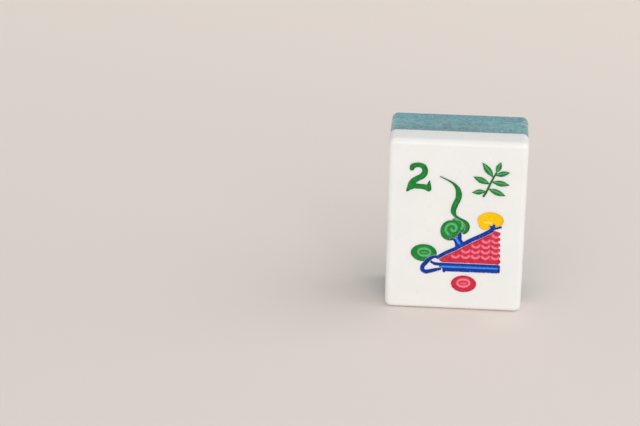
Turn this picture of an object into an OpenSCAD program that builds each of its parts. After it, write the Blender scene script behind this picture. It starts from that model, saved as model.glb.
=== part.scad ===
// Mahjong tile: a white face slab, a clear core and a glitter back laminated into one block,
// with a paint-filled picture engraved in the face. Millimetres.
// The tile stands on its lower end: X is across the face, -Y is the way the face looks, Z is up.

/* [Tile] */
// Height of the tile standing on its end
tile_h = 30; // [26:0.5:40]
// Width across the face
tile_w = 22.4; // [19:0.2:30]
// Radius of the four edges that run from the face to the back
corner_r = 1.1; // [1.1:0.1:2.5]

/* [Layers] */
// Thickness of the white face slab
face_t = 4.1; // [3:0.1:8]
// Thickness of the cement film between the face slab and the clear core
bond_t = 0.1; // [0.05:0.05:0.3]
// Thickness of the clear core
core_t = 5.1; // [2:0.1:10]
// Thickness of the glitter back
back_t = 3.3; // [2:0.1:8]
// Rounding of the rim of the face
face_edge_r = 0.9; // [0.3:0.1:1]
// Rounding of the rim of the back
back_edge_r = 1.05; // [0.3:0.05:1.05]

/* [Engraving] */
// Depth of the engraving below the face
engrave_depth = 0.45; // [0.4:0.05:0.8]
// Thickness of the paint on the floor of the engraving
paint_t = 0.2; // [0.1:0.05:0.25]
// Height of the ridges that stand out of the paint
ridge_h = 0.12; // [0.04:0.02:0.14]
// Width of the white land left between two neighbouring colours
land = 0.04; // [0.02:0.02:0.2]

/* [Picture] */
// White margin left of the picture
left_margin = 2.9; // [2:0.1:4]
// White margin right of the picture
right_margin = 2.7; // [2:0.1:4]
// White margin above the picture
top_margin = 3.1; // [2:0.1:5]
// White margin below the picture
bottom_margin = 3.4; // [2:0.1:5]

/* [Hidden] */

tile_t = face_t + bond_t + core_t + back_t;
core_z = back_t;
bond_z = core_z + core_t;
face_z = bond_z + bond_t;

// The picture is drawn 16.8 units wide and 23.5 units high and fills the face inside the margins
unit_x = (tile_w - left_margin - right_margin) / 16.8;
unit_y = (tile_h - top_margin - bottom_margin) / 23.5;
unit_w = (unit_x + unit_y) / 2;
middle_x = (left_margin - right_margin) / 2;

stroke_steps = 4;
cap_steps = 6;
ellipse_steps = 48;
leaf_steps = 10;
arc_fn = 48;

white = [0.94, 0.93, 0.91];
clear = [0.72, 0.86, 0.88, 0.35];
film = [0.45, 0.56, 0.58, 0.6];
teal = [0.05, 0.42, 0.48];
green = [0.12, 0.46, 0.2];
blue = [0.04, 0.2, 0.58];
red = [0.83, 0.2, 0.3];
yellow = [0.98, 0.79, 0.02];

// Lays a part modelled flat, face up and foot toward -Y, into the standing tile
module stand() {
  translate([0, tile_t / 2, 0])
    rotate([90, 0, 0])
      children();
}

// Rectangle from the foot of the tile with four round corners
module rounded_plan() {
  translate([-tile_w / 2 + corner_r, 0])
    square([tile_w - 2 * corner_r, tile_h]);
  translate([-tile_w / 2, corner_r])
    square([tile_w, tile_h - 2 * corner_r]);
  for (x = [-1, 1])
    for (y = [corner_r, tile_h - corner_r])
      translate([x * (tile_w / 2 - corner_r), y])
        circle(r = corner_r, $fn = arc_fn);
}

// Half section of a slab of thickness t whose upper rim is rounded by r, reaching out to half
module rim_section(half, t, r) {
  square([half, t - r]);
  square([half - r, t]);
  translate([half - r, t - r])
    intersection() {
      circle(r = r, $fn = arc_fn);
      square([r, r]);
    }
}

module full_section(half, t, r) {
  rim_section(half, t, r);
  mirror([1, 0])
    rim_section(half, t, r);
}

// Slab with the rounded plan and a rounded upper rim, lying on z = 0
module rimmed_slab(t, rim) {
  r = min(rim, corner_r - 0.05, t - 0.05);
  translate([0, tile_h - corner_r, 0])
    rotate([90, 0, 0])
      linear_extrude(height = tile_h - 2 * corner_r)
        full_section(tile_w / 2, t, r);
  translate([-tile_w / 2 + corner_r, tile_h / 2, 0])
    rotate([90, 0, 90])
      linear_extrude(height = tile_w - 2 * corner_r)
        full_section(tile_h / 2, t, r);
  for (x = [-1, 1])
    for (y = [corner_r, tile_h - corner_r])
      translate([x * (tile_w / 2 - corner_r), y, 0])
        rotate_extrude($fn = arc_fn)
          rim_section(corner_r, t, r);
}

// Points [x, y] of the drawing on the face, drawn from the middle of the picture's foot
function flat(p) = [for (v = p) [middle_x + v[0] * unit_x, bottom_margin + v[1] * unit_y]];

// Curve through the points p, each [x, y, half width], and the outline of a stroke along it
function blend(a, b, c, d, t) =
  0.5 * (2 * b + (c - a) * t + (2 * a - 5 * b + 4 * c - d) * t * t
    + (3 * b - a - 3 * c + d) * t * t * t);
function curve(p) = [
  for (i = [0 : len(p) - 2])
    for (k = [0 : stroke_steps - 1 + (i == len(p) - 2 ? 1 : 0)])
      blend(p[max(i - 1, 0)], p[i], p[i + 1], p[min(i + 2, len(p) - 1)], k / stroke_steps)
];
function heading(q, i) =
  let (a = q[max(i - 1, 0)], b = q[min(i + 1, len(q) - 1)])
  atan2(b[1] - a[1], b[0] - a[0]);
function around(c, turn, grow) =
  [c[0] + (c[2] + grow) * cos(turn), c[1] + (c[2] + grow) * sin(turn)];
function end_cap(c, turn, grow) = [
  for (k = [1 : cap_steps - 1]) around(c, turn + 90 - 180 * k / cap_steps, grow)
];
function outline(q, grow) =
  let (n = len(q) - 1)
  concat(
    [for (i = [0 : n]) around(q[i], heading(q, i) + 90, grow)],
    end_cap(q[n], heading(q, n), grow),
    [for (i = [n : -1 : 0]) around(q[i], heading(q, i) - 90, grow)],
    end_cap(q[0], heading(q, 0) + 180, grow)
  );

// Stroke drawn in units, so that it stretches with the picture, and widened by grow in millimetres
module stroke(p, grow = 0) {
  polygon(flat(outline(curve(p), grow / unit_w)));
}

module ellipse(centre, radii, tilt = 0) {
  polygon(flat([
    for (k = [0 : ellipse_steps - 1])
      let (a = 360 * k / ellipse_steps, x = radii[0] * cos(a), y = radii[1] * sin(a))
      [centre[0] + x * cos(tilt) - y * sin(tilt), centre[1] + x * sin(tilt) + y * cos(tilt)]
  ]));
}

module disc(centre, r) {
  translate(flat([centre])[0])
    circle(r = r * unit_w, $fn = arc_fn);
}

// Leaf pointed at both ends, from the point base, length l toward turn and width w
module leaf(base, turn, l, w) {
  polygon(flat([
    for (k = [0 : 2 * leaf_steps - 1])
      let (a = 180 * k / leaf_steps, x = l * (1 - abs(k / leaf_steps - 1)), y = w / 2 * sin(a))
      [base[0] + x * cos(turn) - y * sin(turn), base[1] + x * sin(turn) + y * cos(turn)]
  ]));
}

// Rib along the middle of a leaf
module leaf_rib(base, turn, l) {
  stroke([
    for (x = [0.2, 0.5, 0.8] * l)
      [base[0] + x * cos(turn), base[1] + x * sin(turn), 0.07]
  ]);
}

// Plain figure 2: bowl with its diagonal, waved foot and foot serif
module numeral_plan() {
  stroke([
    [-7.45, 21.55, 0.38], [-7.3, 21.95, 0.46], [-6.75, 22.2, 0.42], [-6.15, 22.2, 0.42],
    [-5.6, 21.95, 0.46], [-5.35, 21.4, 0.46], [-5.4, 20.8, 0.5], [-5.8, 20.28, 0.5],
    [-6.45, 19.9, 0.48], [-7, 19.5, 0.52], [-7.42, 18.95, 0.54], [-7.66, 18.4, 0.46],
    [-7.92, 17.95, 0.33], [-8.15, 17.65, 0.16]
  ]);
  stroke([
    [-7.6, 18.12, 0.3], [-7, 18.5, 0.45], [-6.4, 18.52, 0.45], [-5.8, 18.5, 0.44],
    [-5.2, 18.4, 0.48], [-4.72, 18.2, 0.5]
  ]);
  stroke([[-4.55, 19.5, 0.1], [-4.62, 19.1, 0.24], [-4.66, 18.6, 0.4], [-4.7, 18.15, 0.5]]);
}

// Leaves of the spray, each its base, direction, length and width
function spray_leaves() = [
  [[6.05, 21.3], 70, 2.1, 0.9],
  [[5.85, 20.9], 14, 2.5, 0.95],
  [[5.65, 20.5], 126, 3.2, 1.05],
  [[5.35, 19.8], -10, 3, 1],
  [[5.15, 19.35], 156, 3, 1.05],
  [[4.85, 18.55], -22, 3.1, 1],
  [[4.65, 18.1], 188, 2.4, 0.9]
];

module leaf_spray_plan() {
  stroke([
    [4.2, 17.2, 0.18], [4.75, 18.3, 0.19], [5.2, 19.45, 0.18], [5.7, 20.6, 0.16],
    [6.2, 21.6, 0.13]
  ]);
  for (l = spray_leaves())
    leaf(l[0], l[1], l[2], l[3]);
}

module leaf_spray_ridge_plan() {
  for (l = spray_leaves())
    leaf_rib(l[0], l[1], l[2]);
}

module tendril_plan(grow = 0) {
  stroke([
    [-2.85, 20.35, 0.09], [-2.2, 20.05, 0.11], [-1.5, 19.72, 0.15], [-0.85, 19.32, 0.2],
    [-0.3, 18.8, 0.3], [0.08, 18.15, 0.42], [0.22, 17.4, 0.5], [0.15, 16.6, 0.5],
    [-0.15, 15.85, 0.48], [-0.43, 15.1, 0.47], [-0.54, 14.4, 0.45], [-0.4, 13.85, 0.36],
    [-0.08, 13.45, 0.24], [0.45, 13.12, 0.22], [1.05, 12.82, 0.24], [1.55, 12.44, 0.32],
    [1.83, 11.9, 0.36], [1.82, 11.35, 0.36], [1.6, 10.85, 0.3], [1.28, 10.5, 0.18]
  ], grow);
}

module stem_plan(grow = 0) {
  stroke([
    [-0.82, 9.34, 0.16], [-0.5, 9.46, 0.2], [-0.16, 9.26, 0.22], [0.08, 8.76, 0.21],
    [0.22, 8.1, 0.25]
  ], grow);
  stroke([
    [0.68, 10.45, 0.26], [0.62, 9.9, 0.36], [0.66, 9.4, 0.32], [0.95, 9, 0.26],
    [1.25, 8.7, 0.3]
  ], grow);
  stroke([[0.12, 9.7, 0.14], [0.25, 9.15, 0.2], [0.62, 8.55, 0.32]], grow);
}

module upper_rail_plan(grow = 0) {
  stem_plan(grow);
  rail_loop_plan(grow);
  stroke([
    [-2.8, 6.05, 0.32], [-1.5, 6.93, 0.32], [0, 7.72, 0.33], [1.3, 8.58, 0.35],
    [2.5, 9.33, 0.38], [4, 10.15, 0.38], [5.1, 10.8, 0.38], [5.75, 11.3, 0.4],
    [5.98, 11.75, 0.34], [6.12, 12.15, 0.2]
  ], grow);
  stroke([[5.9, 11.7, 0.24], [5.6, 11.95, 0.16]], grow);
  stroke([[6, 11.55, 0.26], [6.6, 11.66, 0.2], [7.2, 11.86, 0.22]], grow);
}

// Raised middle of the stem
module stem_ridge_plan() {
  stroke([[0.1, 9.8, 0.1], [0.22, 9.2, 0.15], [0.58, 8.66, 0.2]]);
}

// White field that the loop of the upper rail encloses
module loop_field() {
  polygon(flat([[-2.7, 6.1], [-3.5, 6.05], [-4.15, 5.65], [-4.15, 4.9], [-2.7, 4.9]]));
}

module rail_loop_plan(grow = 0) {
  stroke([
    [-2.8, 6.15, 0.26], [-3.5, 6.1, 0.27], [-4.15, 5.68, 0.35], [-4.7, 5.05, 0.37],
    [-5.18, 4.4, 0.37], [-5.25, 3.78, 0.36], [-4.78, 3.38, 0.37], [-4, 3.52, 0.35],
    [-3.2, 3.76, 0.32], [-2.4, 3.96, 0.26]
  ], grow);
}

// Lower rail: a curl inside the loop, two lines and the band between them
module rail_bar_plan(grow = 0) {
  x = [-1.72, 7.12];
  y = [3.87, 4.83];
  half = 0.29;
  stroke([[-3.95, 5.32, 0.18], [-3.55, 5, 0.25], [-3, 4.84, half], [-2.3, y[1], half]], grow);
  stroke([[-2.3, y[1], half], [x[1], y[1], half]], grow);
  stroke([[x[0], y[0], half], [x[1], y[0], half]], grow);
  stroke([[x[0], 3.58, 0.22], [x[0], y[0], 0.22]], grow);
  polygon(flat([
    [x[0], y[0]], [x[1] + half + grow / unit_w, y[0]],
    [x[1] + half + grow / unit_w, y[1]], [-2.5, y[1]], [-2.5, 4.3]
  ]));
}

module rail_ridge_plan() {
  stroke([[-2.2, 4.34, 0.12], [6.95, 4.34, 0.12]]);
}

module lower_rail_plan() {
  difference() {
    rail_bar_plan();
    upper_rail_plan(land);
  }
}

module coil_plan() {
  difference() {
    union() {
      ellipse([-0.88, 10.95], [1.65, 1.85], -14);
      ellipse([0.8, 11.65], [0.95, 1.2]);
      ellipse([-0.05, 12.8], [0.6, 0.5]);
    }
    tendril_plan(land);
    upper_rail_plan(land);
  }
}

module coil_ridge_plan() {
  stroke([
    for (a = [-160 : 40 : 240])
      let (r = 0.2 + 1.05 * (a + 160) / 400)
      [-0.58 + r * cos(a), 11.18 + r * sin(a), 0.17]
  ]);
  stroke([[0.92, 12.55, 0.16], [1.05, 12.1, 0.22], [1.08, 11.7, 0.2], [0.85, 11.2, 0.15]]);
  stroke([[-0.45, 13.1, 0.14], [-0.1, 12.9, 0.16], [0.35, 12.75, 0.14]]);
}

// Red field with six scallops along its upright edge
module board_field() {
  polygon(flat([[-2.7, 5.9], [-2.45, 5.45], [-2.1, 5.2], [6.9, 5.2], [6.9, 11], [6, 11.3]]));
  for (row = [0 : 5])
    disc([6.84, 5.7 + 0.99 * row], 0.57 - 0.04 * row);
}

module board_plan() {
  difference() {
    board_field();
    upper_rail_plan(land);
    rail_bar_plan(land);
  }
}

// Lower lips of the scales, in rows that get shorter upward
module board_ridge_plan() {
  pitch = [1.62, 0.97];
  for (row = [0 : 4])
    for (column = [0 : 4 - row])
      let (x = 6.55 - pitch[0] * column, y = 6.55 + pitch[1] * row)
      stroke([for (a = [200 : 29 : 345]) [x + 0.6 * cos(a), y + 0.48 * sin(a), 0.16]]);
}

module cap_plan() {
  difference() {
    union() {
      ellipse([5.5, 12.98], [2.12, 1.48]);
      ellipse([4.6, 12.18], [0.95, 0.9]);
    }
    upper_rail_plan(land);
  }
}

module cap_ridge_plan() {
  stroke([[4.5, 12.48, 0.12], [5.1, 12.5, 0.15], [5.6, 12.45, 0.15]]);
}

module green_disc_plan() {
  difference() {
    ellipse([-5.1, 6.76], [2.13, 1.56]);
    upper_rail_plan(land);
    loop_field();
  }
}

module red_disc_plan() {
  ellipse([1.58, 1.44], [2.08, 1.52]);
}

module disc_ridge_plan(centre) {
  difference() {
    ellipse(centre, [1.13, 0.83]);
    ellipse(centre, [0.85, 0.48]);
  }
  stroke([for (x = [-0.4, 0.4]) [centre[0] + x, centre[1] - 0.04, 0.08]]);
}

module picture_plan() {
  numeral_plan();
  leaf_spray_plan();
  tendril_plan();
  coil_plan();
  upper_rail_plan();
  lower_rail_plan();
  board_plan();
  cap_plan();
  green_disc_plan();
  red_disc_plan();
}

// Layer of the drawing on the floor of the engraving
module on_floor(height) {
  stand()
    translate([0, 0, tile_t - engrave_depth])
      linear_extrude(height = height)
        children();
}

module face_slab() {
  color(white)
    stand()
      difference() {
        translate([0, 0, face_z])
          rimmed_slab(face_t, face_edge_r);
        translate([0, 0, tile_t - engrave_depth])
          linear_extrude(height = engrave_depth + 1)
            picture_plan();
      }
}

module bond_film() {
  color(film)
    stand()
      translate([0, 0, bond_z])
        linear_extrude(height = bond_t)
          rounded_plan();
}

module clear_core() {
  color(clear)
    stand()
      translate([0, 0, core_z])
        linear_extrude(height = core_t)
          rounded_plan();
}

module glitter_back() {
  color(teal)
    stand()
      translate([0, 0, back_t])
        mirror([0, 0, 1])
          rimmed_slab(back_t, back_edge_r);
}

module numeral_paint() {
  color(green)
    on_floor(paint_t)
      numeral_plan();
}

module leaf_spray_paint() {
  color(green) {
    on_floor(paint_t)
      leaf_spray_plan();
    on_floor(paint_t + ridge_h)
      leaf_spray_ridge_plan();
  }
}

module tendril_paint() {
  color(green)
    on_floor(paint_t)
      tendril_plan();
}

module coil_paint() {
  color(green) {
    on_floor(paint_t)
      coil_plan();
    on_floor(paint_t + ridge_h)
      intersection() {
        coil_plan();
        coil_ridge_plan();
      }
  }
}

module upper_rail_paint() {
  color(blue) {
    on_floor(paint_t)
      upper_rail_plan();
    on_floor(paint_t + ridge_h)
      intersection() {
        upper_rail_plan();
        stem_ridge_plan();
      }
  }
}

module lower_rail_paint() {
  color(blue) {
    on_floor(paint_t)
      lower_rail_plan();
    on_floor(paint_t + ridge_h)
      rail_ridge_plan();
  }
}

module board_paint() {
  color(red) {
    on_floor(paint_t)
      board_plan();
    on_floor(paint_t + ridge_h)
      intersection() {
        board_plan();
        board_ridge_plan();
      }
  }
}

module cap_paint() {
  color(yellow) {
    on_floor(paint_t)
      cap_plan();
    on_floor(paint_t + ridge_h)
      cap_ridge_plan();
  }
}

module green_disc_paint() {
  color(green) {
    on_floor(paint_t)
      green_disc_plan();
    on_floor(paint_t + ridge_h)
      intersection() {
        green_disc_plan();
        disc_ridge_plan([-5.05, 6.79]);
      }
  }
}

module red_disc_paint() {
  color(red) {
    on_floor(paint_t)
      red_disc_plan();
    on_floor(paint_t + ridge_h)
      disc_ridge_plan([1.53, 1.5]);
  }
}

face_slab();
bond_film();
clear_core();
glitter_back();
numeral_paint();
leaf_spray_paint();
tendril_paint();
coil_paint();
upper_rail_paint();
lower_rail_paint();
board_paint();
cap_paint();
green_disc_paint();
red_disc_paint();
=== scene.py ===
"""Looks of the mahjong tile: engraved and painted white face, clear core and glitter back.

The scene is in metres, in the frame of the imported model: X across the face, -Y the way the face
looks, Z up. The tile's own lengths are named in mm.
"""

import math
import random

import bmesh
import bpy
import numpy as np
from mathutils import Matrix, Vector, noise
from mathutils.geometry import delaunay_2d_cdt

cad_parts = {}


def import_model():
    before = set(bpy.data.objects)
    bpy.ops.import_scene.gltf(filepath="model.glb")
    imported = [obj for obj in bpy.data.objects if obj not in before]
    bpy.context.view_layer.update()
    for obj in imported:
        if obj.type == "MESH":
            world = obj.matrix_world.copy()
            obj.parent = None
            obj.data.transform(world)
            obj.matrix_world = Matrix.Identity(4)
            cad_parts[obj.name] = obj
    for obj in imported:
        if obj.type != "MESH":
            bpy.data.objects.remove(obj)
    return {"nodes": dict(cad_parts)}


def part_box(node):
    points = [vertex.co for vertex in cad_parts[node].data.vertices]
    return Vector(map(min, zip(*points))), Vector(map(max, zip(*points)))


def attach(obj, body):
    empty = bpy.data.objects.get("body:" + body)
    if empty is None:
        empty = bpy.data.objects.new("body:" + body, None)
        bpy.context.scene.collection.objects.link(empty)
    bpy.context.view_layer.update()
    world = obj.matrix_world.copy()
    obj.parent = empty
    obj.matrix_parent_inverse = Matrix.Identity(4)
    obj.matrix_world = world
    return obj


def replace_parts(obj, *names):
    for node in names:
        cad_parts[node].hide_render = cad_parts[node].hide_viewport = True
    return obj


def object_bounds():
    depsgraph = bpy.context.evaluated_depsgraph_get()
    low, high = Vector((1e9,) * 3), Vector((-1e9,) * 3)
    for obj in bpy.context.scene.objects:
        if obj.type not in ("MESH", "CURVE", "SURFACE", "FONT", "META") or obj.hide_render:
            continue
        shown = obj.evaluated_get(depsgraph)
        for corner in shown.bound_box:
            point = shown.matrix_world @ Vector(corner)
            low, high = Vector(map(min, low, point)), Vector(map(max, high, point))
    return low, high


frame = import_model()
cad_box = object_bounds()

MM = 0.001

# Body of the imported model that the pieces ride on, and seed of the loose flakes
BODY = "root"
SEED = 7

# Angle in degrees up to which most pieces are shaded smooth, and share that each finer wave of noise keeps
SMOOTH_ANGLE = 35
NOISE_GRAIN = 0.55

# Colours, linear
WHITE_RESIN = (0.85, 0.85, 0.832)
# The film is pale partly as painted light, for light shining through the white resin
FILM_PALE = (0.88, 0.955, 0.97)
CLEAR_TINT = (0.975, 0.99, 0.995)
# The far colour is paler as painted light, making up for weaker lamp light toward the back
FLOOR_NEAR = (0.86, 0.78, 0.735)
FLOOR_FAR = (0.95, 0.86, 0.80)
LAMP_WHITE = (1.0, 0.995, 0.985)
AMBIENT = (0.55, 0.55, 0.545)
BACKDROP = (0.96, 0.94, 0.92)

# Glitter, linear: the resin where it is deep, where it is pale and on the tile's edges, its flecks and
# points of painted glint, and painted glow for the light in the clear core on the side that shows
# through it, where it is dim and where it is bright
TEAL_DEEP = (0.0, 0.155, 0.21)
TEAL_PALE = (0.005, 0.39, 0.51)
TEAL_EDGE = (0.004, 0.25, 0.325)
NAVY = (0.003, 0.045, 0.085)
PALE_FLECK = (0.10, 0.56, 0.66)
PINK = (0.23, 0.135, 0.14)
PAINTED_GLINT_WHITE = (0.86, 0.93, 0.93)
PAINTED_GLOW_DIM = (0.17, 0.74, 0.86)
PAINTED_GLOW = (0.34, 0.98, 1.0)

# Shares of those looks: painted glow on the side toward the core, calm on the edges, polish that is
# left on the back, and lean of the flat flakes
PAINTED_GLOW_SHARE = 0.86
EDGE_CALM = 0.6
BACK_POLISH = 0.4
FLAKE_LEAN = 0.5

# Flecks in the glitter: cells to the mm, share of cells that hold one, how far from its middle a fleck
# begins to fade and is gone, as shares of a cell, and its colour
FLECKS = (
    (2.4, 0.3, 0.12, 0.38, NAVY),
    (2.0, 0.22, 0.14, 0.34, PALE_FLECK),
    (1.3, 0.08, 0.08, 0.32, PINK),
    # The white points are painted glints
    (1.7, 0.15, 0.07, 0.19, PAINTED_GLINT_WHITE),
)

# Loose flakes, linear: where from 0 to 1 the share of each colour begins, and the colour
FLAKE_TINTS = (
    (0.0, (0.03, 0.15, 0.22)),
    (0.12, (0.14, 0.52, 0.60)),
    (0.45, (0.20, 0.62, 0.70)),
    (0.8, (0.42, 0.80, 0.86)),
    (0.92, (0.46, 0.36, 0.38)),
    (0.945, (0.90, 0.94, 0.94)),
)

# Each paint: deep colour, for brush streaks and as painted shade along its groove's walls, its own colour,
# and the thin coat, for worn spots and as painted highlight on the ridges
GREEN = ((0.003, 0.10, 0.012), (0.012, 0.265, 0.04), (0.135, 0.52, 0.195))
BLUE = ((0.0005, 0.014, 0.15), (0.0005, 0.046, 0.42), (0.09, 0.33, 0.97))
RED = ((0.31, 0.006, 0.022), (0.69, 0.029, 0.08), (0.98, 0.235, 0.31))
YELLOW = ((0.72, 0.38, 0.0), (0.97, 0.615, 0.0), (0.99, 0.74, 0.12))

PAINTS = {
    "numeral_paint": ("green_paint", GREEN),
    "leaf_spray_paint": ("green_paint", GREEN),
    "tendril_paint": ("green_paint", GREEN),
    "coil_paint": ("green_paint", GREEN),
    "green_disc_paint": ("green_paint", GREEN),
    "upper_rail_paint": ("blue_paint", BLUE),
    "lower_rail_paint": ("blue_paint", BLUE),
    "board_paint": ("red_paint", RED),
    "red_disc_paint": ("red_paint", RED),
    "cap_paint": ("yellow_paint", YELLOW),
}

# Paint beside the walls of its groove, mm: depth below the face at the wall and away from it, how far
# from the wall it has fallen so deep, and the width of the band of painted shade along the wall
WALL_DEPTH = 0.03
FLOOR_DEPTH = 0.24
WALL_RUN = 0.24
WALL_BAND = 0.16

# Paint over the ridges, mm: how far they lift it, how far outside a ridge that begins, the length of
# the slope, and how far from the wall the lift is whole
RIDGE_LIFT = 0.15
RIDGE_FOOT = 0.15
RIDGE_RUN = 0.26
RIDGE_FADE = 0.12

# Brush ripples: height in mm, waves to the mm, and how far from the wall in mm they are whole
RIPPLE = 0.012
RIPPLE_WAVES = 1.7
RIPPLE_FADE = 0.1

# Paint mesh: size of its triangles in mm, height of a row and clearance from the rim as shares of that
# size, and the angle in degrees up to which it is shaded smooth
PAINT_STEP = 0.075
ROW_HEIGHT = 0.866
RIM_CLEARANCE = 0.45
PAINT_SMOOTH = 80

# What delaunay_2d_cdt gives back: triangles inside the loops, with holes left out
INSIDE_WITH_HOLES = 4

# Points of a CAD node that differ by less, in mm, are on one level
SAME_LEVEL = 1e-3

# Clear core: how far it runs into its neighbours in mm, so that no air shows between them, and the
# number of steps around each of its round edges
BOND_OVERLAP = 0.02
CORNER_STEPS = 10

# Flakes that stand out of the glitter into the clear core, lengths in mm and tilt in degrees. A higher
# power of their reach leaves fewer of them far out.
FLAKES = 2600
FLAKE_SIDES = 6
FLAKE_RADIUS = (0.07, 0.2)
FLAKE_THICK = 0.012
FLAKE_REACH = 0.45
REACH_POWER = 2.2
FLAKE_TILT = 65
SIDE_MARGIN = 0.28

# Floor: half its width in metres, and in mm the air under the tile and the way back to its far colour
FLOOR_HALF = 4.0
FLOOR_GAP = 0.02
FLOOR_FADE = 150

# Soft lamps: name, place and size in metres, and power in watts
LAMPS = (
    ("side", (0.7, 0, 0.85), (1.0, 1.0), 3.4),
    ("key", (0.1, -1.05, 0.2), (2.0, 0.38), 6.3),
    ("glint", (0.25, -0.5, 0.5), (0.08, 0.08), 0.2),
)

# Camera fitted to the photograph: place, lens and picture width in mm, and turns in degrees
CAMERA_PLACE = (0.82, -306.77, 149.29)
CAMERA_YAW = 4.357
CAMERA_PITCH = 23.786
CAMERA_ROLL = 0.654
LENS = 113.85
PICTURE_WIDTH = 36
NEAREST_SEEN = 10


def low_high(node):
    """Lowest and highest corner of a CAD node, in mm."""
    low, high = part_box(node)
    return low / MM, high / MM


def dimmed(colour, share):
    """The colour at a share of its strength."""
    return tuple(c * share for c in colour)


def new_piece(name, verts, faces, smooth_angle=SMOOTH_ANGLE):
    """Mesh object from vertices in mm, with its faces turned outward."""
    mesh = bpy.data.meshes.new(name)
    mesh.from_pydata([Vector(v) * MM for v in verts], [], faces)
    shape = bmesh.new()
    shape.from_mesh(mesh)
    bmesh.ops.recalc_face_normals(shape, faces=shape.faces)
    shape.to_mesh(mesh)
    shape.free()
    mesh.polygons.foreach_set("use_smooth", [True] * len(mesh.polygons))
    mesh.set_sharp_from_angle(angle=math.radians(smooth_angle))
    piece = bpy.data.objects.new(name, mesh)
    bpy.context.scene.collection.objects.link(piece)
    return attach(piece, BODY)


def dress(piece, material):
    """Gives the piece this material alone."""
    piece.data.materials.clear()
    piece.data.materials.append(material)


def give_values(piece, name, values):
    """Stores a number for each vertex, for the material to read."""
    field = piece.data.attributes.new(name, "FLOAT", "POINT")
    field.data.foreach_set("value", np.asarray(values, np.float32))


def prism_faces(count, first=0):
    """Faces of a prism: the corners of one end are numbered from first, and those of the other follow."""
    near = [first + k for k in range(count)]
    far = [first + count + k for k in range(count)]
    sides = [(near[k], near[(k + 1) % count], far[(k + 1) % count], far[k]) for k in range(count)]
    return [tuple(near), tuple(reversed(far)), *sides]


class Shader:
    """A material being built: nodes are added by type, and inputs take values or sockets."""

    def __init__(self, name):
        self.material = bpy.data.materials.new(name)
        self.material.use_nodes = True
        self.tree = self.material.node_tree
        self.bsdf = self.tree.nodes["Principled BSDF"]
        self.coords = None

    def node(self, kind, settings=None, **inputs):
        """New node with its own settings; an input's name has _ for each space."""
        made = self.tree.nodes.new(kind)
        for key, value in (settings or {}).items():
            setattr(made, key, value)
        for key, value in inputs.items():
            self.put(made.inputs[key.replace("_", " ")], value)
        return made

    def put(self, socket, value):
        """Links or sets one input; a colour gets its alpha."""
        if isinstance(value, bpy.types.NodeSocket):
            self.tree.links.new(value, socket)
        elif isinstance(value, tuple) and len(value) == 3 and socket.type == "RGBA":
            socket.default_value = (*value, 1)
        else:
            socket.default_value = value

    def set(self, **inputs):
        """Links or sets inputs of the surface shader."""
        for key, value in inputs.items():
            self.put(self.bsdf.inputs[key.replace("_", " ")], value)

    def math(self, operation, a, b):
        """Result of an operation on two numbers."""
        made = self.node("ShaderNodeMath", {"operation": operation})
        self.put(made.inputs[0], a)
        self.put(made.inputs[1], b)
        return made.outputs[0]

    def vector(self, operation, *values):
        """Result of an operation on vectors: a number for a dot product, else a vector."""
        made = self.node("ShaderNodeVectorMath", {"operation": operation})
        for socket, value in zip(made.inputs, values):
            self.put(socket, value)
        return made.outputs["Value" if operation == "DOT_PRODUCT" else "Vector"]

    def place(self):
        """Object coordinates in mm."""
        if self.coords is None:
            metres = self.node("ShaderNodeTexCoord").outputs["Object"]
            self.coords = self.vector("MULTIPLY", metres, (1 / MM,) * 3)
        return self.coords

    def noise(self, scale, detail=3):
        """Noise from 0 to 1, with about scale waves to the mm and finer ones added."""
        made = self.node(
            "ShaderNodeTexNoise", Vector=self.place(), Scale=scale, Detail=detail, Roughness=NOISE_GRAIN)
        return made.outputs[0]

    def cells(self, scale, feature="F1"):
        """Node of random cells, about scale of them to the mm."""
        return self.node("ShaderNodeTexVoronoi", {"feature": feature}, Vector=self.place(), Scale=scale)

    def shades(self, cells):
        """Random numbers of the cells, as the outputs Red, Green and Blue."""
        return self.node("ShaderNodeSeparateColor", Color=cells.outputs["Color"]).outputs

    def fit(self, value, low, high, to_low=0.0, to_high=1.0):
        """The value with the span low to high laid onto the span to_low to to_high."""
        made = self.node("ShaderNodeMapRange", Value=value)
        spans = {"From Min": low, "From Max": high, "To Min": to_low, "To Max": to_high}
        for key, number in spans.items():
            made.inputs[key].default_value = number
        return made.outputs["Result"]

    def mix(self, factor, a, b, blend="MIX"):
        """Mix of two colours, which are inputs 6 and 7 and output 2 of the node."""
        made = self.node("ShaderNodeMix", {"data_type": "RGBA", "blend_type": blend})
        self.put(made.inputs["Factor"], factor)
        self.put(made.inputs[6], a)
        self.put(made.inputs[7], b)
        return made.outputs[2]

    def steps(self, value, stops):
        """Colour of the last stop that the value has reached."""
        made = self.node("ShaderNodeValToRGB", Fac=value)
        made.color_ramp.interpolation = "CONSTANT"
        points = made.color_ramp.elements
        while len(points) < len(stops):
            points.new(1)
        for point, (place, colour) in zip(points, stops):
            point.position = place
            point.color = (*colour, 1)
        return made.outputs["Color"]

    def attribute(self, name):
        """The numbers that give_values stored under this name."""
        return self.node("ShaderNodeAttribute", {"attribute_name": name}).outputs["Fac"]

    def bump(self, height, strength, distance):
        """Shades the surface as if the height raised it by up to a distance in mm."""
        made = self.node("ShaderNodeBump", Height=height, Strength=strength, Distance=distance * MM)
        self.set(Normal=made.outputs["Normal"])


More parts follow.
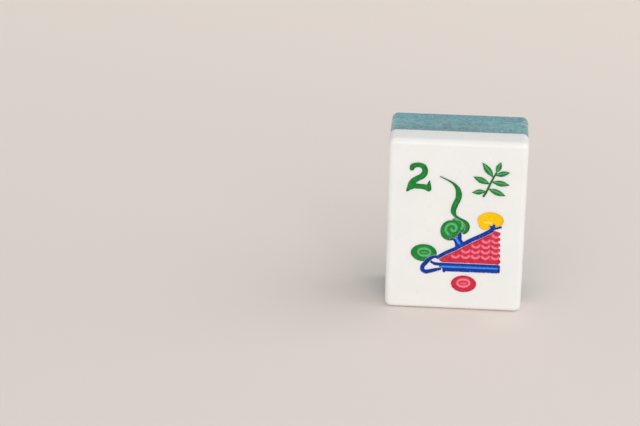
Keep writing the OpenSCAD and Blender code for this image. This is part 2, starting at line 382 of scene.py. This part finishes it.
def white_resin():
    """Polished white resin: faint clouding, fine handling marks and a milky depth."""
    s = Shader("white_resin")
    clouds = s.fit(s.noise(0.18, 2), 0.35, 0.65)
    grain = s.fit(s.noise(9), 0.3, 0.7, 0, 0.15)
    clouded = s.mix(clouds, WHITE_RESIN, dimmed(WHITE_RESIN, 0.975))
    s.set(Base_Color=s.mix(grain, clouded, dimmed(WHITE_RESIN, 0.97)))
    s.set(Roughness=s.fit(s.noise(1.3, 4), 0.3, 0.7, 0.26, 0.4), Specular_IOR_Level=0.5)
    s.set(Subsurface_Weight=0.4, Subsurface_Scale=0.8 * MM, Subsurface_Radius=(1.0, 0.95, 0.9))
    s.bump(s.noise(2.2, 4), 0.06, 0.01)
    return s.material


def cement_film():
    """Thin cement line, uneven along its length; its pale colour also stands in for light shining through
    the white resin.
    """
    s = Shader("cement_film")
    uneven = s.fit(s.noise(1.1), 0.35, 0.65)
    s.set(Base_Color=s.mix(uneven, FILM_PALE, dimmed(FILM_PALE, 0.97)))
    s.set(Roughness=s.fit(s.noise(4), 0.3, 0.7, 0.25, 0.45))
    return s.material


def clear_resin():
    """Polished clear resin with a faint handling haze."""
    s = Shader("clear_resin")
    s.set(Base_Color=CLEAR_TINT, Transmission_Weight=1.0, IOR=1.49)
    s.set(Roughness=s.fit(s.noise(0.8), 0.4, 0.75, 0.0, 0.05))
    s.bump(s.noise(0.35, 2), 0.05, 0.02)
    return s.material


def spots(s, scale, share, middle, edge):
    """Round soft spots in a share of the cells: 1 inside middle and 0 beyond edge."""
    cells = s.cells(scale)
    chosen = s.math("GREATER_THAN", s.shades(cells)["Red"], 1 - share)
    return s.math("MULTIPLY", chosen, s.fit(cells.outputs["Distance"], middle, edge, 1, 0))


def glitter_colour(s, grain, off_back):
    """Teal clouds and flakes, calmer off the back, with dark clusters and flecks."""
    clouds = s.fit(s.noise(0.2, 4), 0.34, 0.66, 0.15, 0.85)
    body = s.mix(clouds, TEAL_DEEP, TEAL_PALE)
    coarse = s.shades(s.cells(2.3, "SMOOTH_F1"))["Red"]
    body = s.mix(1.0, body, s.fit(coarse, 0.2, 0.8, 0.65, 1.4), "MULTIPLY")
    body = s.mix(1.0, body, s.fit(s.shades(grain)["Red"], 0, 1, 0.72, 1.28), "MULTIPLY")
    body = s.mix(s.math("MULTIPLY", off_back, EDGE_CALM), body, TEAL_EDGE)
    crowded = s.fit(s.noise(0.7), 0.42, 0.58, 0.2, 0.95)
    clusters = s.math("MULTIPLY", spots(s, 1.5, 0.45, 0.1, 0.5), crowded)
    body = s.mix(clusters, body, NAVY)
    for scale, share, middle, edge, colour in FLECKS:
        body = s.mix(spots(s, scale, share, middle, edge), body, colour)
    return body


def leaning(s, cells, normal):
    """The normal, leaning its own way in each cell as flat flakes do."""
    lean = s.vector("MULTIPLY_ADD", cells.outputs["Color"], (FLAKE_LEAN,) * 3, (-FLAKE_LEAN / 2,) * 3)
    return s.vector("NORMALIZE", s.vector("ADD", normal, lean))


def glitter_resin():
    """Teal resin full of glitter, polished outside, with painted glow for light on the side that the clear
    core covers.
    """
    s = Shader("glitter_resin")
    surface = s.node("ShaderNodeNewGeometry").outputs
    facing = s.vector("DOT_PRODUCT", surface["True Normal"], (0, -1, 0))
    core_side = s.math("GREATER_THAN", facing, 0.9)
    off_back = s.fit(facing, -1, -0.7)
    grain = s.cells(5.5)
    body = glitter_colour(s, grain, off_back)
    # Painted glow: a bright teal on the side under the clear core stands in for light in the core
    painted_glow = s.mix(s.fit(s.noise(0.7, 2), 0.42, 0.58), PAINTED_GLOW_DIM, PAINTED_GLOW)
    s.set(Base_Color=s.mix(s.math("MULTIPLY", core_side, PAINTED_GLOW_SHARE), body, painted_glow))
    polish = s.fit(off_back, 0, 1, BACK_POLISH, 1)
    s.set(Coat_Weight=s.math("SUBTRACT", polish, core_side), Coat_Roughness=0.04, Coat_IOR=1.49)
    s.set(Roughness=s.fit(s.shades(grain)["Green"], 0, 1, 0.25, 0.5), Specular_IOR_Level=0.05)
    s.set(Normal=leaning(s, grain, surface["Normal"]))
    return s.material


def loose_flakes():
    """Loose flakes, each with a colour picked by its own number."""
    s = Shader("loose_flakes")
    s.set(Base_Color=s.steps(s.attribute("tint"), FLAKE_TINTS))
    s.set(Roughness=s.fit(s.noise(4), 0.3, 0.7, 0.25, 0.45), Specular_IOR_Level=0.3)
    return s.material


def enamel(name, colours):
    """Brushed enamel: painted shade at the walls, thin coat with painted highlight on ridges, thin in worn
    spots, chipped here and there.
    """
    deep_and_shade, own, thin_and_highlight = colours
    s = Shader(name)
    wall = s.attribute("wall")
    streaks = s.fit(s.noise(2.4), 0.3, 0.7)
    coat = s.mix(s.math("MULTIPLY", streaks, 0.5), own, deep_and_shade)
    # Painted shade: the deep colour is laid along the walls of the groove
    coat = s.mix(s.math("MULTIPLY", wall, 0.75), coat, deep_and_shade)
    worn = s.fit(s.noise(2.1), 0.56, 0.72, 0, 0.3)
    coat = s.mix(worn, coat, thin_and_highlight)
    chips = s.fit(s.noise(4.2, 2), 0.54, 0.64, 0, 0.7)
    coat = s.mix(s.math("MULTIPLY", s.fit(wall, 0.4, 0.9), chips), coat, WHITE_RESIN)
    # Painted highlight, partly thin coat: the ridges take the pale colour
    brushed = s.fit(s.noise(3.1, 2), 0.35, 0.6, 0.7, 1.0)
    s.set(Base_Color=s.mix(s.math("MULTIPLY", s.attribute("lift_and_highlight"), brushed), coat, thin_and_highlight))
    s.set(Roughness=s.fit(s.noise(3.5), 0.3, 0.7, 0.2, 0.36), Specular_IOR_Level=0.15)
    s.bump(s.noise(7), 0.25, 0.012)
    return s.material


def flat_faces(node, level):
    """Triangles of a CAD node that lie at depth level (mm), as points [x, z] in mm and index triples."""
    mesh = frame["nodes"][node].data
    places, index, triangles = [], {}, []
    mesh.calc_loop_triangles()
    for triangle in mesh.loop_triangles:
        corners = [mesh.vertices[i].co / MM for i in triangle.vertices]
        if all(abs(c.y - level) < SAME_LEVEL for c in corners):
            ids = []
            for c in corners:
                key = (round(c.x, 4), round(c.z, 4))
                if key not in index:
                    index[key] = len(places)
                    places.append(key)
                ids.append(index[key])
            if len(set(ids)) == 3:
                triangles.append(ids)
    return np.array(places), triangles


def rim_loops(triangles):
    """Closed loops of the edges that only one triangle has."""
    ways = {}
    seen = set()
    for a, b, c in triangles:
        for edge in ((a, b), (b, c), (c, a)):
            seen.add(edge)
    for a, b in seen:
        if (b, a) not in seen:
            ways[a] = b
    loops = []
    while ways:
        start, at = ways.popitem()
        loop = [start]
        while at != start:
            loop.append(at)
            at = ways.pop(at)
        loops.append(loop)
    return loops


def resampled(loop, step):
    """The closed loop of points with its edges cut into lengths of about step."""
    points = []
    for a, b in zip(loop, np.roll(loop, -1, axis=0)):
        pieces = max(1, round(np.hypot(*(b - a)) / step))
        points.extend(a + (b - a) * k / pieces for k in range(pieces))
    return np.array(points)


def edges_of(loops):
    """Start and end points of every edge of the loops."""
    starts = np.concatenate(loops)
    ends = np.concatenate([np.roll(loop, -1, axis=0) for loop in loops])
    return starts, ends


def distance(points, loops):
    """Distance of each point from the nearest edge of the loops."""
    starts, ends = edges_of(loops)
    along = ends - starts
    squares = np.maximum((along ** 2).sum(1), 1e-12)
    best = np.full(len(points), np.inf)
    for start, way, square in zip(starts, along, squares):
        offset = points - start
        t = np.clip(offset @ way / square, 0, 1)
        best = np.minimum(best, np.hypot(*(offset - t[:, None] * way).T))
    return best


def inside(points, loops):
    """True for each point that the loops enclose, holes left out."""
    starts, ends = edges_of(loops)
    hit = np.zeros(len(points), bool)
    for (x0, y0), (x1, y1) in zip(starts, ends):
        if y0 != y1:
            crosses = (points[:, 1] < y0) != (points[:, 1] < y1)
            reach = x0 + (points[:, 1] - y0) * (x1 - x0) / (y1 - y0)
            hit ^= crosses & (points[:, 0] < reach)
    return hit


def inner_grid(loops, step):
    """Points of a triangular grid inside the loops, clear of their edges."""
    rim = np.concatenate(loops)
    low, high = rim.min(0), rim.max(0)
    rows = np.arange(low[1], high[1], step * ROW_HEIGHT)
    columns = np.arange(low[0], high[0], step)
    grid = np.array([(x + step / 2 * (k % 2), y) for k, y in enumerate(rows) for x in columns])
    grid = grid[inside(grid, loops)]
    return grid[distance(grid, loops) > step * RIM_CLEARANCE]


def filled(loops, inner):
    """Points of the loops and inside them, the triangles between those, and the edges of the loops."""
    points = np.concatenate([*loops, inner])
    edges, first = [], 0
    for loop in loops:
        count = len(loop)
        edges += [(first + k, first + (k + 1) % count) for k in range(count)]
        first += count
    made = delaunay_2d_cdt([Vector(p) for p in points], edges, [], INSIDE_WITH_HOLES, 1e-6)
    places = np.array([tuple(p) for p in made[0]])
    return places, [tuple(t) for t in made[2]], edges


def eased(t):
    """Smooth rise from 0 to 1 as t goes from 0 to 1."""
    t = np.clip(t, 0, 1)
    return t * t * (3 - 2 * t)


def ridge_lift(node, points, floor_triangles):
    """1 at points on the ridges of the paint and 0 away from them."""
    places, triangles = flat_faces(node, low_high(node)[0].y)
    # Paint without ridges has the same face in front as on the floor of its groove
    if len(triangles) == len(floor_triangles):
        return np.zeros(len(points))
    ridges = [places[loop] for loop in rim_loops(triangles)]
    reach = distance(points, ridges) * np.where(inside(points, ridges), 1, -1)
    return eased((reach + RIDGE_FOOT) / RIDGE_RUN)


def paint_depth(points, wall, lift_and_highlight, level):
    """Depth of the paint below the face: it falls away from the wall, rises over ridges and ripples."""
    fall = 1 - (1 - np.clip(wall / WALL_RUN, 0, 1)) ** 2
    depth = WALL_DEPTH + (FLOOR_DEPTH - WALL_DEPTH) * fall
    depth = np.maximum(depth - RIDGE_LIFT * lift_and_highlight, WALL_DEPTH)
    ripple = np.array([noise.noise(Vector((x * RIPPLE_WAVES, z * RIPPLE_WAVES, level))) for x, z in points])
    return depth + RIPPLE * ripple * eased(wall / RIPPLE_FADE)


def paint_piece(node, material):
    """Closed body of paint in one engraved patch, from the floor of the groove up to its brushed surface."""
    face = low_high("face_slab")[0].y
    groove = low_high(node)[1].y
    places, triangles = flat_faces(node, groove)
    loops = [resampled(places[loop], PAINT_STEP) for loop in rim_loops(triangles)]
    points, fill, rim_edges = filled(loops, inner_grid(loops, PAINT_STEP))
    wall = distance(points, loops)
    lift_and_highlight = ridge_lift(node, points, triangles) * eased(wall / RIDGE_FADE)
    depth = paint_depth(points, wall, lift_and_highlight, groove)

    below = len(points)
    rim_count = len(rim_edges)
    under_fill = filled(loops, np.empty((0, 2)))[1]
    verts = [(x, face + d, z) for (x, z), d in zip(points, depth)]
    verts += [(x, groove, z) for x, z in points[:rim_count]]
    faces = list(fill)
    faces += [tuple(below + k for k in reversed(t)) for t in under_fill]
    faces += [(a, b, below + b, below + a) for a, b in rim_edges]
    piece = new_piece(node.replace("paint", "enamel"), verts, faces, PAINT_SMOOTH)
    underside = np.zeros(rim_count)
    # The ridge values raise the paint and also mark where the material paints highlight
    give_values(piece, "lift_and_highlight", np.concatenate([lift_and_highlight, underside]))
    # The wall values mark where the material paints shade along the walls of the groove
    give_values(piece, "wall", np.concatenate([1 - eased(wall / WALL_BAND), underside]))
    dress(piece, material)
    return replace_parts(piece, node)


def rounded_rectangle(low, high, radius):
    """Outline in X and Z, round at its four corners."""
    left, right = low.x + radius, high.x - radius
    bottom, top = low.z + radius, high.z - radius
    outline = []
    for turn, (x, z) in enumerate(((right, top), (left, top), (left, bottom), (right, bottom))):
        for k in range(CORNER_STEPS + 1):
            angle = math.pi / 2 * (turn + k / CORNER_STEPS)
            outline.append((x + radius * math.cos(angle), z + radius * math.sin(angle)))
    return outline


def corner_radius():
    """Radius of the tile's upright edges, read from where the core's flat top ends."""
    high = low_high("clear_core")[1]
    places = [v.co / MM for v in frame["nodes"]["clear_core"].data.vertices]
    return high.x - max(p.x for p in places if abs(p.z - high.z) < SAME_LEVEL)


def clear_core(material):
    """Block of clear resin that just enters the layers at both sides, as bonded resin does."""
    low, high = low_high("clear_core")
    outline = rounded_rectangle(low, high, corner_radius())
    ends = (low.y - BOND_OVERLAP, high.y + BOND_OVERLAP)
    verts = [(x, y, z) for y in ends for x, z in outline]
    piece = new_piece("clear_core_resin", verts, prism_faces(len(outline)))
    dress(piece, material)
    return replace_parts(piece, "clear_core")


def flake_corners(radius):
    """Corners of a flat flake around its middle, first those of one side and then the other's."""
    angles = [2 * math.pi * k / FLAKE_SIDES for k in range(FLAKE_SIDES)]
    return [
        Vector((radius * math.cos(a), side * FLAKE_THICK, radius * math.sin(a)))
        for side in (-0.5, 0.5) for a in angles]


def glitter_flakes(material):
    """Flakes that stand out of the glitter into the clear core, thinning out away from it."""
    draw = random.Random(SEED)
    low, high = low_high("clear_core")
    lean = math.radians(FLAKE_TILT)
    verts, faces, tints = [], [], []
    for _ in range(FLAKES):
        radius = draw.uniform(*FLAKE_RADIUS)
        reach = FLAKE_REACH * draw.random() ** REACH_POWER
        x = draw.uniform(low.x + SIDE_MARGIN, high.x - SIDE_MARGIN)
        z = draw.uniform(low.z + SIDE_MARGIN, high.z - SIDE_MARGIN)
        middle = Vector((x, high.y - reach, z))
        tip = Matrix.Rotation(draw.uniform(-lean, lean), 3, "X")
        swing = Matrix.Rotation(draw.uniform(-lean, lean), 3, "Z")
        corners = flake_corners(radius)
        faces += prism_faces(FLAKE_SIDES, len(verts))
        verts += [middle + tip @ swing @ corner for corner in corners]
        tints += [draw.random()] * len(corners)
    piece = new_piece("glitter_flakes", verts, faces)
    give_values(piece, "tint", tints)
    dress(piece, material)
    return piece


def floor():
    """Plain pale floor, a little paler toward the back as painted light, where the lamps light it less."""
    mesh = bpy.data.meshes.new("floor")
    turns = ((-1, -1), (1, -1), (1, 1), (-1, 1))
    corners = [(x * FLOOR_HALF, y * FLOOR_HALF, -FLOOR_GAP * MM) for x, y in turns]
    mesh.from_pydata(corners, [], [(0, 1, 2, 3)])
    plane = bpy.data.objects.new("floor", mesh)
    bpy.context.scene.collection.objects.link(plane)
    s = Shader("floor")
    back = s.node("ShaderNodeSeparateXYZ", Vector=s.place()).outputs["Y"]
    s.set(Base_Color=s.mix(s.fit(back, 0, FLOOR_FADE), FLOOR_NEAR, FLOOR_FAR))
    s.set(Roughness=0.75, Specular_IOR_Level=0.2)
    dress(plane, s.material)


def world():
    """Even ambient light; seen, mirrored or refracted, the surroundings are a pale backdrop."""
    made = bpy.data.worlds.new("studio")
    made.use_nodes = True
    tree = made.node_tree
    light = tree.nodes["Background"]
    light.inputs["Color"].default_value = (*AMBIENT, 1)
    seen = tree.nodes.new("ShaderNodeBackground")
    seen.inputs["Color"].default_value = (*BACKDROP, 1)
    path = tree.nodes.new("ShaderNodeLightPath").outputs
    shown = path["Is Camera Ray"]
    for ray in ("Is Glossy Ray", "Is Transmission Ray"):
        either = tree.nodes.new("ShaderNodeMath")
        either.operation = "MAXIMUM"
        tree.links.new(shown, either.inputs[0])
        tree.links.new(path[ray], either.inputs[1])
        shown = either.outputs[0]
    mixed = tree.nodes.new("ShaderNodeMixShader")
    tree.links.new(shown, mixed.inputs["Fac"])
    tree.links.new(light.outputs[0], mixed.inputs[1])
    tree.links.new(seen.outputs[0], mixed.inputs[2])
    tree.links.new(mixed.outputs[0], tree.nodes["World Output"].inputs["Surface"])
    bpy.context.scene.world = made


def softbox(name, place, size, power):
    """Soft lamp of size (width, height), aimed at the middle of the tile."""
    lamp = bpy.data.lights.new(name, "AREA")
    lamp.shape = "RECTANGLE"
    lamp.size, lamp.size_y = size
    lamp.energy = power
    lamp.color = LAMP_WHITE
    box = bpy.data.objects.new(name, lamp)
    box.location = place
    middle = Vector(cad_box[0]).lerp(Vector(cad_box[1]), 0.5)
    box.rotation_euler = (middle - Vector(place)).to_track_quat("-Z", "Y").to_euler()
    bpy.context.scene.collection.objects.link(box)


def camera():
    """Camera at the place and angle of the photograph."""
    data = bpy.data.cameras.new("camera")
    data.lens = LENS
    data.sensor_width = PICTURE_WIDTH
    data.clip_start = NEAREST_SEEN * MM
    made = bpy.data.objects.new("camera", data)
    turned = Matrix.Identity(4)
    for axis, angle in (("Z", CAMERA_YAW), ("X", 90 - CAMERA_PITCH), ("Z", CAMERA_ROLL)):
        turned = turned @ Matrix.Rotation(math.radians(angle), 4, axis)
    made.matrix_world = Matrix.Translation(Vector(CAMERA_PLACE) * MM) @ turned
    bpy.context.scene.collection.objects.link(made)
    bpy.context.scene.camera = made


bpy.context.scene.view_settings.view_transform = "Standard"

dress(frame["nodes"]["face_slab"], white_resin())
dress(frame["nodes"]["bond_film"], cement_film())
dress(frame["nodes"]["glitter_back"], glitter_resin())
enamels = {slot: enamel(slot, colours) for slot, colours in PAINTS.values()}
for node, (slot, _) in PAINTS.items():
    paint_piece(node, enamels[slot])
clear_core(clear_resin())
glitter_flakes(loose_flakes())
floor()
world()
for lamp in LAMPS:
    softbox(*lamp)
camera()
